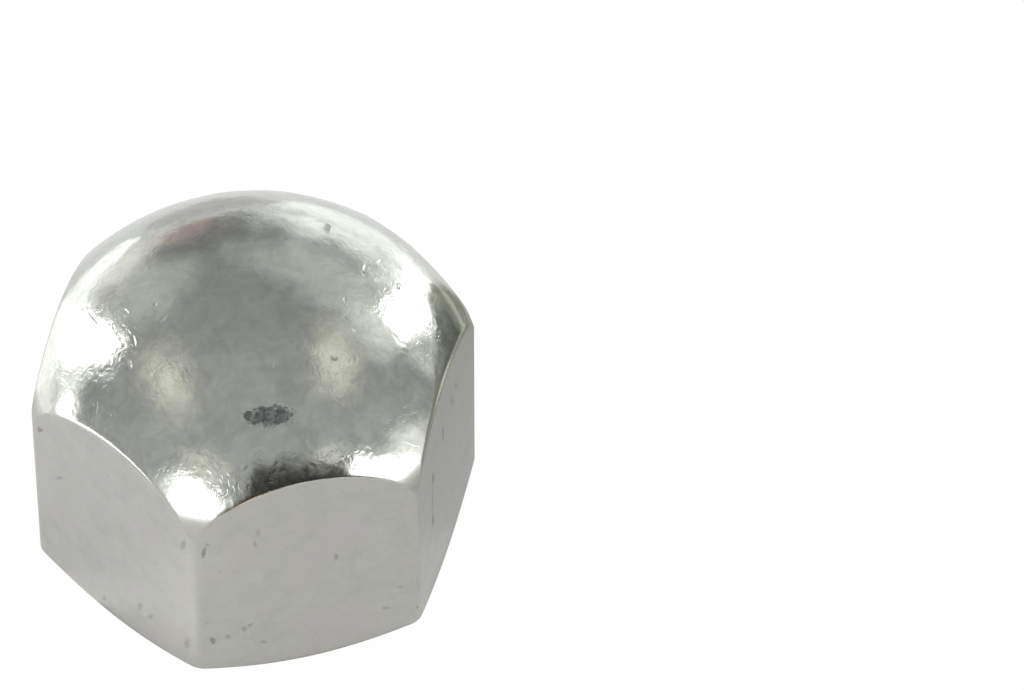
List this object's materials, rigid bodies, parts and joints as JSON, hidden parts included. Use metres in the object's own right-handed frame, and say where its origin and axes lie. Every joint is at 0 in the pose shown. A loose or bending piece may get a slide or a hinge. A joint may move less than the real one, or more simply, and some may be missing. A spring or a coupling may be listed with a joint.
{
  "type": "cap nut",
  "caption": "Low hexagon cap nut with a round closed crown, a chamfered bearing face and a blind, countersunk M8 threaded hole.",
  "frame": {"origin": "centre of the bearing face, on the axis of the thread", "axes": "+Z along the thread's axis, from the bearing face towards the closed crown; two corners of the hexagon lie on +X and -X, and two flats face +Y and -Y"},
  "size_m": [0.0148, 0.013, 0.0119],
  "materials": {
    "steel": "bare stainless steel, satin flats and bearing face, brighter crown, edges and thread"
  },
  "bodies": {
    "root": {"cap_nut": "steel"}
  },
  "joints": []
}
